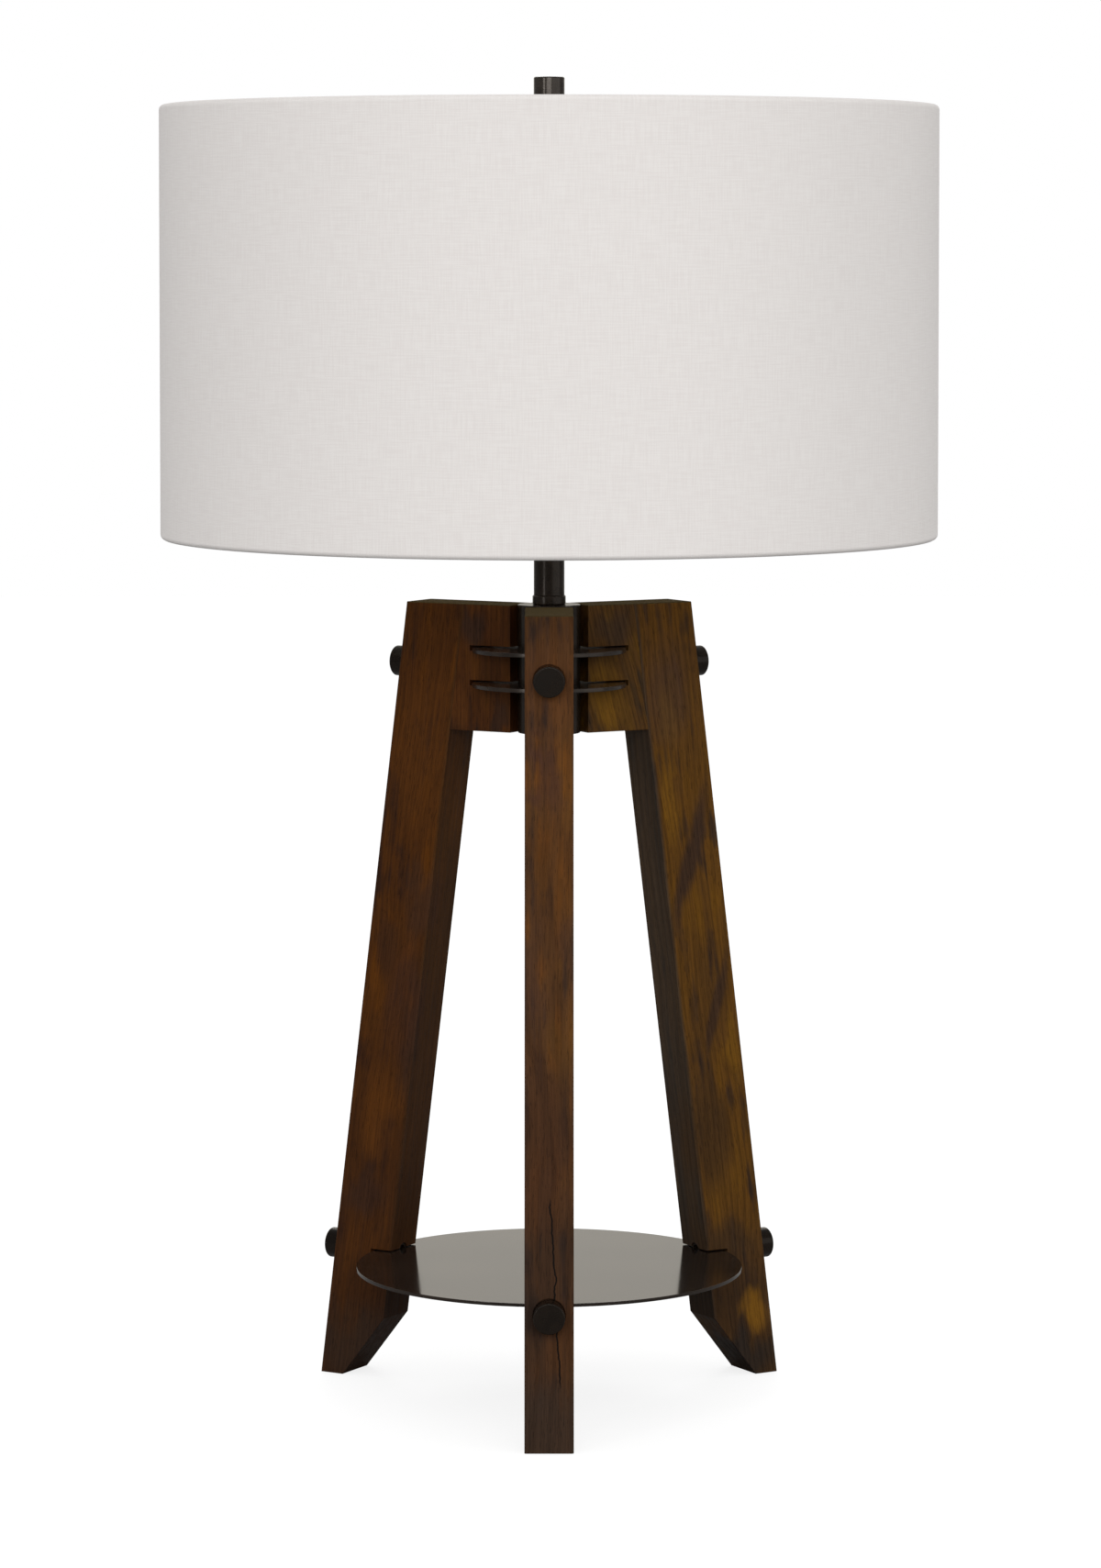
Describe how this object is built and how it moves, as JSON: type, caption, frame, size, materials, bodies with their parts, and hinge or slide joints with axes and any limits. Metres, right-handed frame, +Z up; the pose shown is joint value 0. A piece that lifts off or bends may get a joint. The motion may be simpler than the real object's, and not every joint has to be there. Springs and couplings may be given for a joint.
{
  "type": "table lamp",
  "caption": "Table lamp with slanted wooden legs bolted to a metal hub, a round low shelf, a harp and a linen drum shade on a finial.",
  "frame": {"origin": "on the floor, under the hub's upright axis", "axes": "+Z up along the stem, -Y towards the front leg, +X to the viewer's right"},
  "size_m": [0.4572, 0.4572, 0.7815],
  "materials": {
    "walnut": "dark walnut stain under a thin satin lacquer",
    "dark_bronze": "oil-rubbed bronze, satin",
    "shelf_bronze": "oil-rubbed bronze sheet, smooth satin",
    "harp_bronze": "bronze plated steel wire",
    "plated_steel": "zinc plated",
    "black_nylon": "moulded",
    "socket_brass": "drawn and lacquered",
    "fibre_board": "vulcanised fibre sheet",
    "black_phenolic": "moulded",
    "shell_aluminium": "rolled thread, bright",
    "contact_brass": "stamped",
    "knob_phenolic": "moulded",
    "linen": "off-white plain weave",
    "liner_sheet": "white styrene sheet",
    "white_wire": "white baked enamel on steel wire"
  },
  "bodies": {
    "base": {"leg_front": "walnut", "leg_rear_left": "walnut", "leg_rear_right": "walnut", "arm_front": "walnut", "arm_rear_left": "walnut", "arm_rear_right": "walnut", "hub_post": "dark_bronze", "upper_plate": "dark_bronze", "lower_plate": "dark_bronze", "arm_bolts": "dark_bronze", "shelf_plate": "shelf_bronze", "shelf_barrels": "plated_steel", "shelf_bolts": "dark_bronze", "stem_collar": "dark_bronze", "stem_tube": "dark_bronze", "neck_ring": "dark_bronze", "lamp_pipe": "plated_steel", "pipe_washer": "plated_steel", "pipe_nut": "plated_steel", "cord_bushing": "black_nylon", "harp_saddle": "harp_bronze", "harp_wire": "harp_bronze", "harp_stud": "harp_bronze", "socket_cap": "socket_brass", "socket_shell": "socket_brass", "socket_insulator": "fibre_board", "socket_core": "black_phenolic", "screw_shell": "shell_aluminium", "centre_contact": "contact_brass"},
    "switch": {"switch_shaft": "plated_steel", "switch_knob": "knob_phenolic"},
    "ferrule_left": {"ferrule_left": "harp_bronze"},
    "ferrule_right": {"ferrule_right": "harp_bronze"},
    "shade": {"shade_cloth": "linen", "shade_liner": "liner_sheet", "shade_spider": "white_wire", "shade_top_ring": "white_wire", "shade_bottom_ring": "white_wire"},
    "finial": {"finial": "dark_bronze"}
  },
  "joints": [
    {"name": "shade_turn", "type": "hinge", "parent": "base", "child": "shade", "pos_m": [0, 0, 0.75], "axis": [0, 0, 1], "continuous": true},
    {"name": "finial_turn", "type": "hinge", "parent": "base", "child": "finial", "pos_m": [0, 0, 0.7518], "axis": [0, 0, 1], "continuous": true},
    {"name": "switch_turn", "type": "hinge", "parent": "base", "child": "switch", "pos_m": [0, -0.0176, 0.561], "axis": [0, -1, 0], "continuous": true},
    {"name": "ferrule_left_lift", "type": "slide", "parent": "base", "child": "ferrule_left", "axis": [0, 0, 1], "range_m": [0, 0.012]},
    {"name": "ferrule_right_lift", "type": "slide", "parent": "base", "child": "ferrule_right", "axis": [0, 0, 1], "range_m": [0, 0.012]}
  ]
}
